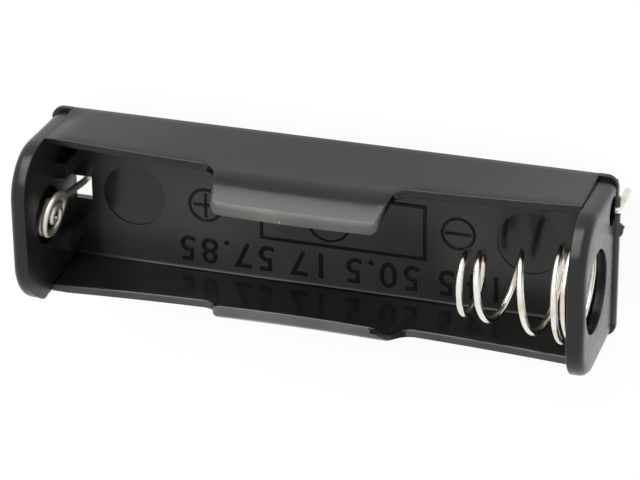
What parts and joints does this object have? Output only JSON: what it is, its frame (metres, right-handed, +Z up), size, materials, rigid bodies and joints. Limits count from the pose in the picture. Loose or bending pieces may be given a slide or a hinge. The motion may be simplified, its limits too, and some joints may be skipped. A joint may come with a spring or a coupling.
{
  "type": "cylindrical cell holder",
  "caption": "Open-topped black moulded holder for one AA cell, with inward-curling side clips, a coiled negative contact and two solder pins.",
  "frame": {"origin": "middle of the flat underside that sits on the circuit board", "axes": "+X along the case towards the coiled negative contact, +Y across it on the side of the negative pin, +Z up out of the board towards the open side that the cell goes in by"},
  "size_m": [0.0578, 0.0169, 0.0173],
  "materials": {
    "case_plastic": "black moulded plastic, satin outside and glossier inside",
    "contact_wire": "nickel-plated steel wire",
    "spring_wire": "nickel-plated spring-steel wire"
  },
  "bodies": {
    "holder": {"case": "case_plastic", "positive_contact": "contact_wire"},
    "spring": {"negative_spring": "spring_wire"}
  },
  "joints": [
    {"name": "spring_compress", "type": "slide", "parent": "holder", "child": "spring", "axis": [1, 0, 0], "range_m": [0, 0.0092], "stiffness_N_per_m": 550, "deforming": ["negative_spring"]}
  ]
}
